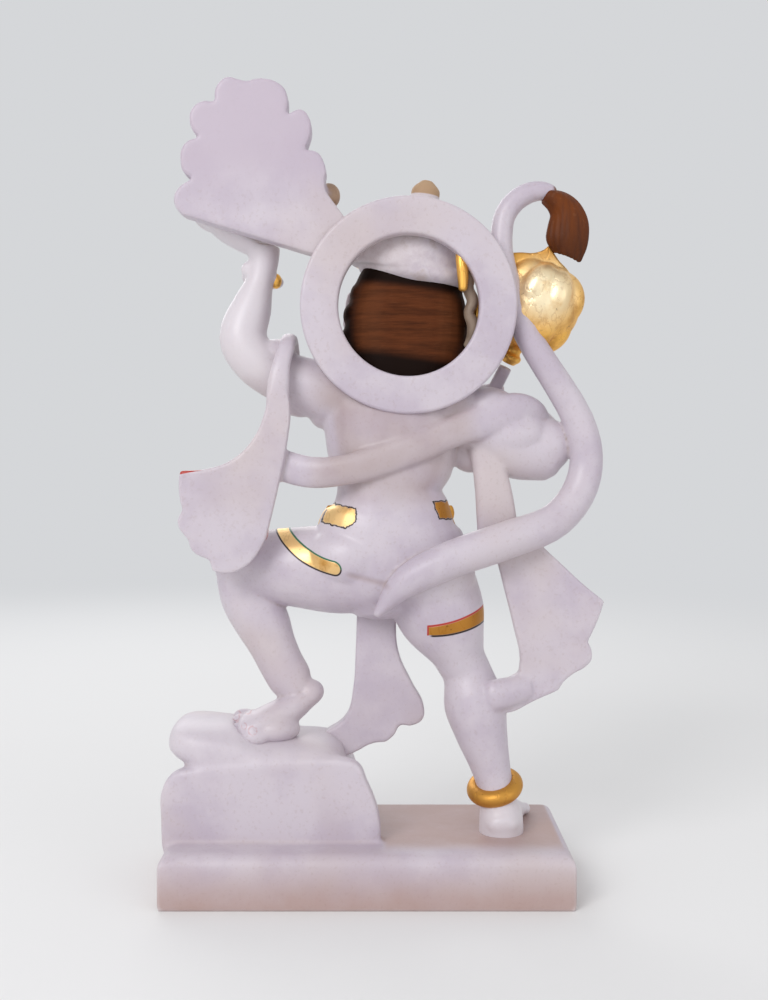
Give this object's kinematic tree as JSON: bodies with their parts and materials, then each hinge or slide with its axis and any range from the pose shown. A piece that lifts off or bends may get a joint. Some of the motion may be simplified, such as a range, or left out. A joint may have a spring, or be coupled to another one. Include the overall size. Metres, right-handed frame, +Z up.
{
  "type": "hanuman figure",
  "caption": "Standing carved marble figure of Hanuman on its own plinth, one foot on a rock, with halo, raised hill, mace, tail and flowing sash.",
  "frame": {"origin": "centre of the plinth's flat underside", "axes": "+Z up, the figure faces -Y, its left hand with the hill is towards +X"},
  "size_m": [0.3366, 0.1552, 0.6137],
  "materials": {
    "marble": "hand polished white marble",
    "gilding": "burnished gold leaf",
    "brown_paint": "brown paint with fine brush strokes"
  },
  "bodies": {
    "root": {"hanuman_statue": "marble"}
  },
  "joints": []
}
